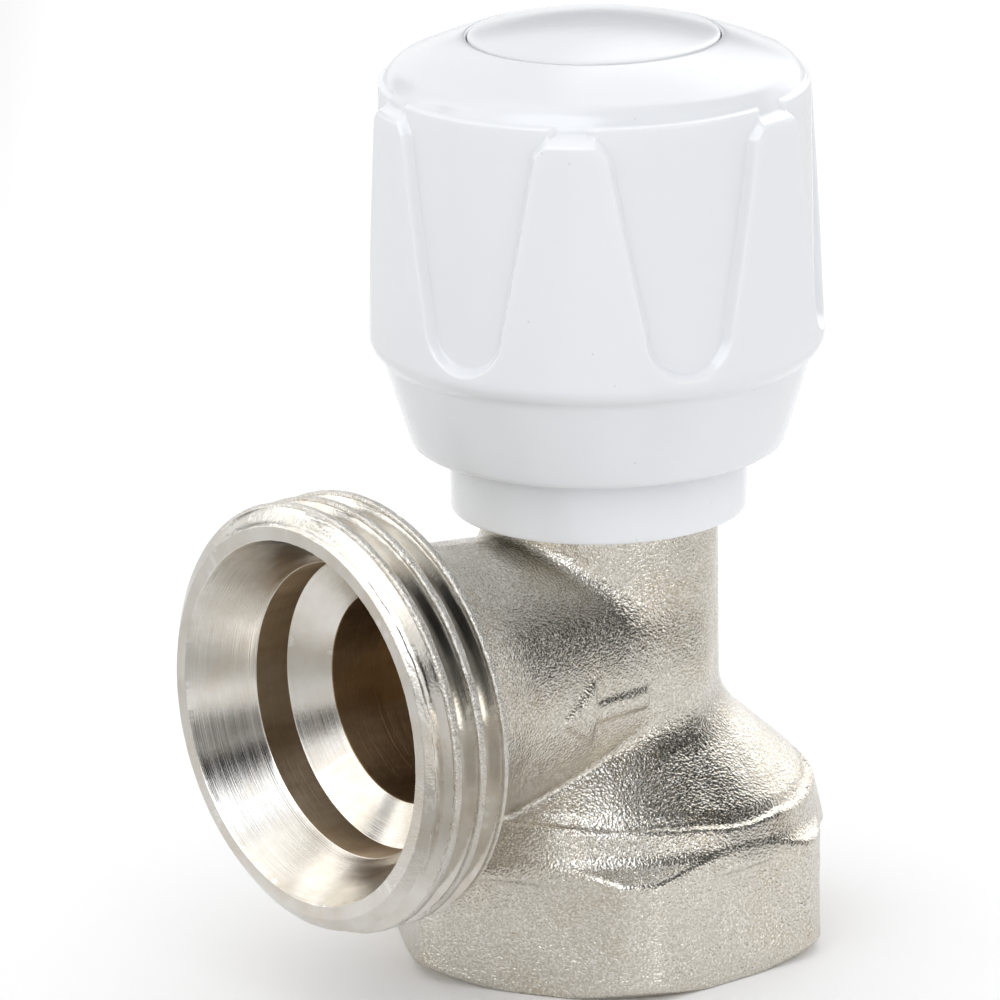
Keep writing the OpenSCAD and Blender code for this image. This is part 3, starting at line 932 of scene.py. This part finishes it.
def shield_cap():
    """Fluted cap with its hub; one sixth is worked out and repeated round the axis."""
    table = cap_rows()
    u = (np.arange(COLUMNS_A_FLUTE) + 0.5) / COLUMNS_A_FLUTE * 2 - 1
    # columns gather at the flute's walls and follow them up the cap
    share = np.abs(u)
    knots_u = np.array([0, 0.28, 0.74, 1.0])
    mid_z = 0.5 * (table[:, 1] + table[:, 3])
    drop = FLUTE_END_Z - mid_z
    half_circle = np.sqrt(np.clip(FLUTE_END ** 2 - drop ** 2, 0, None))
    half = np.where(mid_z < FLUTE_END_Z, half_circle, flute_half(mid_z))
    half = np.where(mid_z > 68.6, flute_half(68.4), half)
    full = math.radians(60) / 2 * ROUND_R
    theta = np.empty((COLUMNS_A_FLUTE, len(table)))
    for j in range(len(table)):
        h = max(half[j], 1.3)
        knots_s = np.array([0, max(h - WALL - 0.18, 0.4), h + 0.25, full])
        theta[:, j] = np.interp(share, knots_u, knots_s) * np.sign(u) / ROUND_R
    s = np.abs(theta) * ROUND_R
    zz = np.broadcast_to(mid_z[None, :], s.shape)
    low = np.hypot(s, zz - FLUTE_END_Z) - FLUTE_END
    high = (s - half[None, :]) * 0.985
    d = np.where(zz < FLUTE_END_Z, low, high)
    # 0 on a flute's floor, 1 on a lobe
    t = np.clip((d + WALL) / WALL, 0, 1)
    blend = t * t * (3 - 2 * t)
    blend = np.where(zz < 48.7, 1, blend)
    lobe_r, lobe_z, floor_r, floor_z = table.T
    r = floor_r[None, :] + (lobe_r - floor_r)[None, :] * blend
    z = floor_z[None, :] + (lobe_z - floor_z)[None, :] * blend
    points = []
    for k in range(FLUTES):
        a = math.radians(FLUTE_TURN + 60 * k) + theta
        points.append(np.stack([r * np.cos(a), r * np.sin(a), z], -1))
    points = np.concatenate(points, 0)
    columns, count = points.shape[:2]
    piece = mesh_piece(
        "shield_cap_moulding", points.reshape(-1, 3), ring_faces(columns, count), [CAP_WHITE],
        "cap", ["shield_cap"],
    )
    sharpen(piece, 50)


shield_cap()


# ------------------------------------------------------- top disc and collar

def closed_turned(path, columns):
    """Points and triangles of a path turned about Z, from the axis round the outside to it."""
    inner = path[1:-1]
    count = len(inner)
    points, _ = turned_z(inner, columns)
    points = np.vstack([points, [0, 0, path[0][1]], [0, 0, path[-1][1]]])
    foot, top = columns * count, columns * count + 1
    faces = []
    for c in range(columns):
        d = (c + 1) % columns
        faces.append((foot, d * count, c * count))
        faces.append((top, c * count + count - 1, d * count + count - 1))
        for k in range(count - 1):
            faces.append((c * count + k, d * count + k, d * count + k + 1))
            faces.append((c * count + k, d * count + k + 1, c * count + k + 1))
    return points, faces


def disc_path():
    """Outline of the disc as (r, z): snap skirt, seat, edge, dome."""
    seat, r_out, r_skirt = DISC_SEAT_Z, 9.55, WELL_R - 0.05
    foot = seat - 3.6
    edge_z = float(dome_z(r_out))
    low = round_path([
        (0.0, seat + 0.2, 0), (7.5, seat + 0.2, 0.25), (7.5, foot, 0.12), (8.0, foot, 0.12),
        (r_skirt, foot + 0.6, 0.1), (r_skirt, seat, 0), (r_out, seat, 0.12),
        (r_out, edge_z - 0.14, 0),
    ], steps=4)
    low = dense(low, 0.9)
    low = low[: 1 + int(np.argmax(low[:, 1]))]
    edge = [(r_out - c, edge_z - d) for c, d in ((0.01, 0.09), (0.04, 0.04), (0.10, 0.0))]
    dome = [(r, float(dome_z(r))) for r in np.linspace(9.2, 0.0, 22)]
    return np.array(list(low) + edge + dome)


def top_disc():
    """The snap-in disc in the crown."""
    points, faces = closed_turned(disc_path(), 192)
    piece = mesh_piece(
        "top_disc_moulding", points, faces, [DISC_WHITE], "disc", ["top_disc"],
    )
    sharpen(piece, 40)


top_disc()


def collar():
    """The ring between neck and cap, open below over the neck's end."""
    low, high = box_mm("collar_ring")
    z0, z1, r = low[2], high[2], high[0]
    neck_gap_r, upper_r, step_z = NECK_R + 0.1, 9.86, z0 + 1.5
    path = round_path([
        (neck_gap_r, z0, 0.12), (r, z0, 0.30), (r, z1, 0.42), (upper_r, z1, 0.15),
        (upper_r, step_z, 0.1), (neck_gap_r, step_z, 0.1),
    ], steps=4)
    points, faces = turned_z(dense(path, 0.7), 200)
    piece = mesh_piece(
        "collar_moulding", points, faces, [COLLAR_WHITE], "valve", ["collar_ring"],
    )
    sharpen(piece, 45)


collar()


# ---------------------------------------------------------------- CAD pieces

# CAD pieces that keep their mesh take a procedural finish
FINISHES = {
    "inner_brass": BRASS,
    "seal_rubber": RUBBER,
    "seal_plastic": PTFE,
    "plated_steel": STEEL,
    "body_nickel": NICKEL,
    "cap_plastic": CAP_WHITE,
    "disc_plastic": DISC_WHITE,
    "collar_plastic": COLLAR_WHITE,
}
for part in record["subparts"]:
    cad = frame["nodes"][part["node"]]
    finish = FINISHES[part["material_slot"]]
    if not cad.material_slots:
        cad.data.materials.append(finish)
    for place in cad.material_slots:
        place.link = "OBJECT"
        place.material = finish


# --------------------------------------------------------- floor, light, view

CAMERA_AZIMUTH = math.radians(51)
FLOOR_HALF_M = 6.0


def make_floor():
    """White paper with painted shade: greyer before and beside the valve, where its polished parts
    mirror it.
    """
    mesh = bpy.data.meshes.new("floor")
    h = FLOOR_HALF_M
    mesh.from_pydata([(-h, -h, 0), (h, -h, 0), (h, h, 0), (-h, h, 0)], [], [(0, 1, 2, 3)])
    g = Graph("floor_paper")
    x, y, _ = g.xyz()
    # millimetres towards the camera, and to either side of that line
    c, d = math.cos(CAMERA_AZIMUTH), math.sin(CAMERA_AZIMUTH)
    front = g.add(g.mul(x, c), g.mul(y, d))
    side = g.math("ABSOLUTE", g.math("SUBTRACT", g.mul(x, d), g.mul(y, c)))
    # painted shade on the paper in front of the valve
    near = g.mul(g.remap(front, 24, 46, smooth=True), g.remap(front, 125, 70, smooth=True))
    # less of the painted shade in one narrow direction
    aside = g.math("ABSOLUTE", g.math("SUBTRACT", g.math("ARCTAN2", y, x), math.radians(64)))
    near = g.mul(near, g.remap(aside, math.radians(8), math.radians(22), 0.35, 1.0, smooth=True))
    # painted shade beside the valve too; the stronger of the two is kept
    painted_floor_shade = g.math("MAXIMUM", near, g.mul(0.6, g.remap(side, 44, 85, smooth=True)))
    paper = g.mix(g.noise(30.0, 2.0), (0.965, 0.965, 0.965), (0.97, 0.97, 0.97))
    g.finish(g.mix(painted_floor_shade, paper, (0.54, 0.532, 0.51)), 1.0)
    g.bsdf.inputs["Specular IOR Level"].default_value = 0.0
    mesh.materials.append(g.mat)
    floor = bpy.data.objects.new("floor", mesh)
    bpy.context.scene.collection.objects.link(floor)


make_floor()


def direction(azimuth, elevation):
    """Unit vector towards an azimuth and elevation in degrees."""
    a, e = math.radians(azimuth), math.radians(elevation)
    return Vector((math.cos(a) * math.cos(e), math.sin(a) * math.cos(e), math.sin(e)))


PLAIN_ROOM = (1.18, 1.18, 1.19, 1)
MIRRORED_ROOM = (1.15, 1.15, 1.15, 1)
ROOM_STRENGTH = 0.95
ZONES = (
    # azimuth, elevation, full to, none from (degrees), brightness, tint
    (105, 50, 28, 42, 0.30, 0.0),
    (147, 41, 19, 29, 0.01, 0.0),
    (140, 12, 14, 26, 0.06, 0.0),
    (63, 35, 9, 17, 0.0, 0.0),
    (68, 12, 7, 15, 0.22, 0.0),
    (9, 3, 6, 12, 0.02, 0.0),
    (97, 3, 7, 14, 3.8, 0.0),
    (197, 18, 12, 22, 2.1, 0.0),
    (203, 48, 16, 26, 2.6, 0.0),
    (212, 62, 8, 18, 2.0, 0.0),
    (229, 16, 6, 13, 0.08, 0.0),
    (270, 16, 7, 15, 0.40, 0.0),
    (320, 5, 9, 17, 3.0, 0.0),
    (22, 44, 17, 29, 3.4, 0.1),
    (310, 72, 10, 24, 1.8, 0.0),
    (325, 24, 22, 34, 2.0, 0.0),
    (314, 27, 3, 8, 0.10, 0.0),
)


def make_world():
    """Studio: a white room with soft lights and dark flags as round zones of the sky."""
    world = bpy.data.worlds.new("studio")
    bpy.context.scene.world = world
    world.use_nodes = True
    tree = world.node_tree
    tree.nodes.clear()
    out = tree.nodes.new("ShaderNodeOutputWorld")
    background = tree.nodes.new("ShaderNodeBackground")
    tree.links.new(background.outputs[0], out.inputs[0])
    coord = tree.nodes.new("ShaderNodeTexCoord")
    base = tree.nodes.new("ShaderNodeRGB")
    base.outputs[0].default_value = MIRRORED_ROOM
    color = base.outputs[0]
    for azimuth, elevation, near, far, light, blue in ZONES:
        dot = tree.nodes.new("ShaderNodeVectorMath")
        dot.operation = "DOT_PRODUCT"
        tree.links.new(coord.outputs["Generated"], dot.inputs[0])
        dot.inputs[1].default_value = direction(azimuth, elevation)
        reach = tree.nodes.new("ShaderNodeMapRange")
        reach.interpolation_type = "SMOOTHSTEP"
        tree.links.new(dot.outputs["Value"], reach.inputs["Value"])
        reach.inputs["From Min"].default_value = math.cos(math.radians(far))
        reach.inputs["From Max"].default_value = math.cos(math.radians(near))
        reach.inputs["To Min"].default_value = 0.0
        reach.inputs["To Max"].default_value = 1.0
        mix = tree.nodes.new("ShaderNodeMix")
        mix.data_type = "RGBA"
        tree.links.new(reach.outputs[0], mix.inputs["Factor"])
        tree.links.new(color, mix.inputs[6])
        mix.inputs[7].default_value = (light, light * (1 + 0.3 * blue), light * (1 + blue), 1)
        color = mix.outputs[2]
    # the white plastic is lit by the plain white room, the bright metal mirrors the studio's parts
    path = tree.nodes.new("ShaderNodeLightPath")
    pick = tree.nodes.new("ShaderNodeMix")
    pick.data_type = "RGBA"
    tree.links.new(path.outputs["Is Glossy Ray"], pick.inputs["Factor"])
    pick.inputs[6].default_value = PLAIN_ROOM
    tree.links.new(color, pick.inputs[7])
    tree.links.new(pick.outputs[2], background.inputs["Color"])
    background.inputs["Strength"].default_value = ROOM_STRENGTH


make_world()


CAMERA_PLACE = Vector((0.374893, 0.450628, 0.212851))
CAMERA_RIGHT = Vector((-0.77410, 0.63289, -0.01442))
CAMERA_UP = Vector((-0.19451, -0.21611, 0.95680))
CAMERA_BACK = Vector((0.60244, 0.74347, 0.29039))


def make_camera():
    """Long lens looking slightly down, from 51 degrees round the neck from the outlet's axis."""
    data = bpy.data.cameras.new("camera")
    data.lens = 288
    data.sensor_width = 36
    data.sensor_fit = "HORIZONTAL"
    data.clip_start = 0.01
    data.clip_end = 20
    camera = bpy.data.objects.new("camera", data)
    bpy.context.scene.collection.objects.link(camera)
    turn = Matrix((CAMERA_RIGHT, CAMERA_UP, CAMERA_BACK)).transposed().to_4x4()
    camera.matrix_world = Matrix.Translation(CAMERA_PLACE) @ turn
    bpy.context.scene.camera = camera


make_camera()
bpy.context.scene.view_settings.view_transform = "Standard"
bpy.context.scene.view_settings.look = "None"
